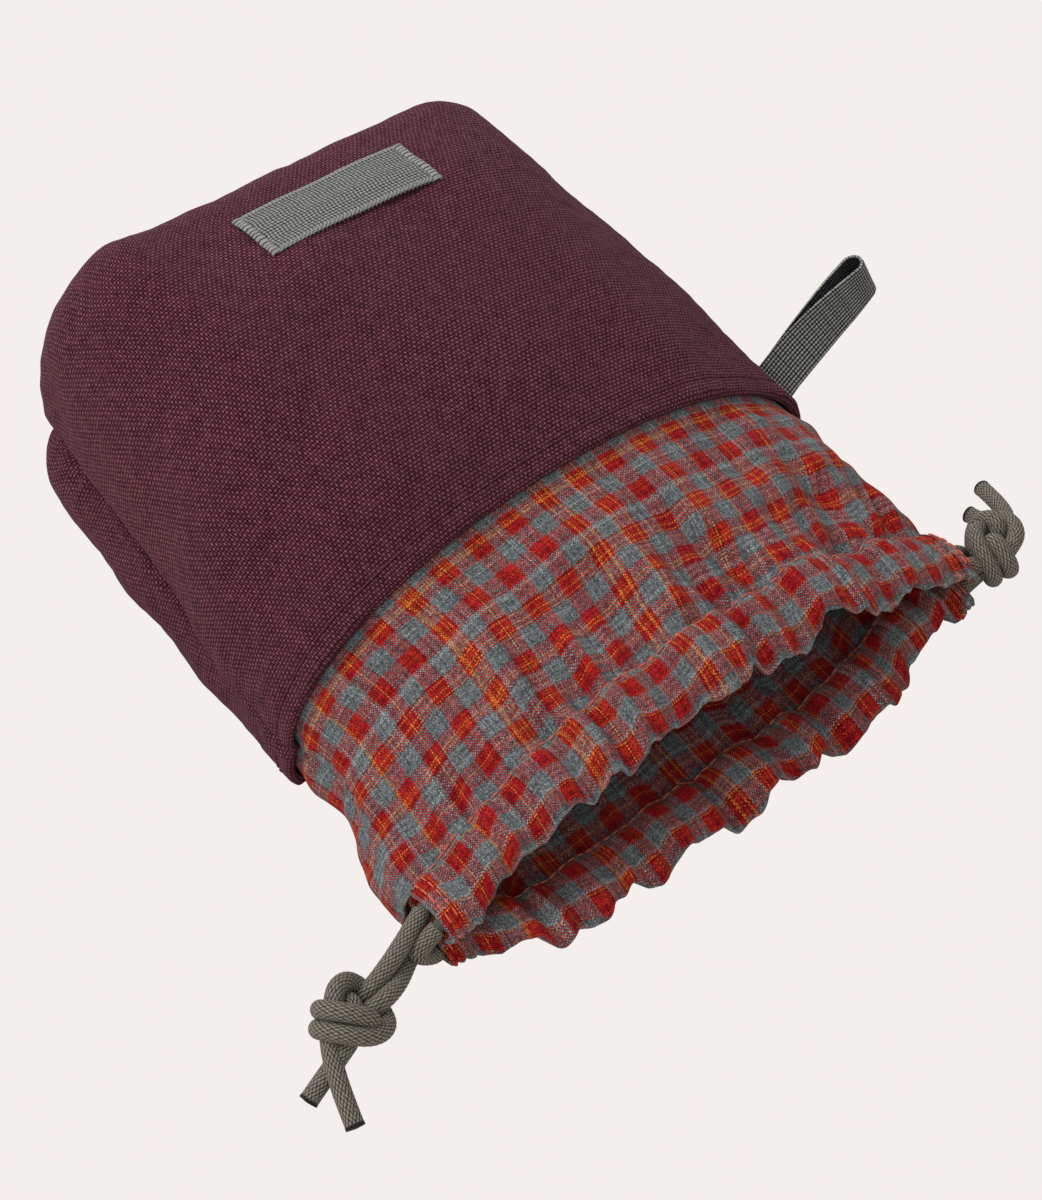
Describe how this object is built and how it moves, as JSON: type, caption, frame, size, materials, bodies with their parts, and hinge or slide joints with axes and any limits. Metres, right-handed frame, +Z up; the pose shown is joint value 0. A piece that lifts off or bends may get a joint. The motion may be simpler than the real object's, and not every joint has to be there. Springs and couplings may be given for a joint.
{
  "type": "drawstring pantry storage bag",
  "caption": "Filled canvas storage bag lying on its back with an open checked skirt, a gathered casing with knotted drawcords, a woven label and a folded tape hang loop",
  "frame": {"origin": "the middle of the flat patch of the back panel that the bag lies on, at the height of the surface", "axes": "+X is the bag's width, towards the side seam with the hang loop; +Y runs along the bag from the mouth to the base, so the mouth faces -Y; +Z is up, out of the front panel"},
  "size_m": [0.2788, 0.2196, 0.0855],
  "materials": {
    "canvas": "matt, heavy basket weave cotton canvas",
    "check_cloth": "matt, plain weave cotton in a small red and grey check",
    "cord": "matt braided cord",
    "tape": "matt woven tape"
  },
  "bodies": {
    "bag": {"canvas_front": "canvas", "canvas_back": "canvas", "lining_front": "check_cloth", "lining_back": "check_cloth", "skirt_front": "check_cloth", "skirt_back": "check_cloth", "casing_front": "check_cloth", "casing_back": "check_cloth", "left_cord_run": "cord", "right_cord_run": "cord", "label": "tape"},
    "mouth_corner_left": {"casing_end_left_front": "check_cloth", "casing_end_left_back": "check_cloth"},
    "mouth_corner_right": {"casing_end_right_front": "check_cloth", "casing_end_right_back": "check_cloth"},
    "left_drawcord": {"left_cord_tail_front": "cord", "left_cord_knot_front": "cord", "left_cord_strand_front": "cord", "left_cord_strand_back": "cord", "left_cord_knot_back": "cord", "left_cord_tail_back": "cord"},
    "right_drawcord": {"right_cord_tail_front": "cord", "right_cord_knot_front": "cord", "right_cord_strand_front": "cord", "right_cord_strand_back": "cord", "right_cord_knot_back": "cord", "right_cord_tail_back": "cord"},
    "loop_tape": {"hang_loop": "tape"}
  },
  "joints": [
    {"name": "left_gather", "type": "slide", "parent": "bag", "child": "mouth_corner_left", "axis": [1, 0, 0], "range_m": [0, 0.045], "deforming": ["skirt_front", "skirt_back", "casing_front", "casing_back", "left_cord_run", "right_cord_run"]},
    {"name": "right_gather", "type": "slide", "parent": "bag", "child": "mouth_corner_right", "axis": [-1, 0, 0], "range_m": [0, 0.045], "deforming": ["skirt_front", "skirt_back", "casing_front", "casing_back", "left_cord_run", "right_cord_run"]},
    {"name": "left_draw", "type": "slide", "parent": "mouth_corner_left", "child": "left_drawcord", "axis": [-1, 0, 0], "range_m": [0, 0.09], "deforming": ["left_cord_run"]},
    {"name": "right_draw", "type": "slide", "parent": "mouth_corner_right", "child": "right_drawcord", "axis": [1, 0, 0], "range_m": [0, 0.09], "deforming": ["right_cord_run"]},
    {"name": "loop_flex", "type": "hinge", "parent": "bag", "child": "loop_tape", "pos_m": [0.0915, 0.001, 0.0158], "axis": [0, 1, 0], "range_deg": [-30, 25]}
  ],
  "couplings": [
    {"joint": "right_gather", "follows": "left_gather", "ratio": 1},
    {"joint": "left_draw", "follows": "left_gather", "ratio": 2},
    {"joint": "right_draw", "follows": "left_gather", "ratio": 2}
  ]
}
